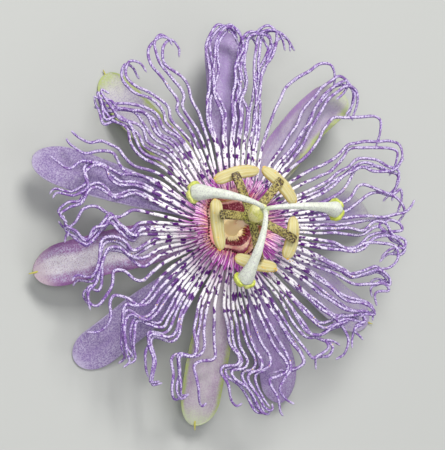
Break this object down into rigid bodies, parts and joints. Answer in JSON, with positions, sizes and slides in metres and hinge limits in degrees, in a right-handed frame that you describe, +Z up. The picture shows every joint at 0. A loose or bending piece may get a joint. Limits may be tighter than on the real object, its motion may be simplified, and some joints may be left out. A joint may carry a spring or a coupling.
{
  "type": "passion flower",
  "caption": "Open passion flower lying face up on its bent-back sepals and petals, with a crimped corona, stamens, ovary and styles, and a short cut stem.",
  "frame": {"origin": "on the surface that the flower lies on, under the middle of its box", "axes": "+Z up along the flower's axis, out of its face; +X and +Y level, with no direction of their own"},
  "size_m": [0.073, 0.0745, 0.0317],
  "materials": {
    "sepal": "satin, lilac-white with green margins",
    "petal": "satin, lavender",
    "corona": "satin, white and violet bands",
    "short_corona": "satin, magenta",
    "operculum": "satin, dark maroon",
    "cup": "satin, pale green",
    "stem": "satin, green",
    "bract": "matte, green",
    "stamen": "satin, olive with dark dots",
    "anther": "matte, cream yellow",
    "ovary": "satin, yellow-green",
    "style": "satin, greenish white",
    "stigma": "satin, lime"
  },
  "bodies": {
    "root": {"stem": "stem", "bract_1": "bract", "bract_2": "bract", "bract_3": "bract", "calyx_cup": "cup", "sepal_1": "sepal", "sepal_2": "sepal", "sepal_3": "sepal", "sepal_4": "sepal", "sepal_5": "sepal", "petal_1": "petal", "petal_2": "petal", "petal_3": "petal", "petal_4": "petal", "petal_5": "petal", "corona": "corona", "short_corona": "short_corona", "operculum": "operculum", "stamen_column": "stamen", "anther_1": "anther", "anther_2": "anther", "anther_3": "anther", "anther_4": "anther", "anther_5": "anther", "ovary": "ovary", "styles": "style", "stigma_1": "stigma", "stigma_2": "stigma", "stigma_3": "stigma"}
  },
  "joints": []
}
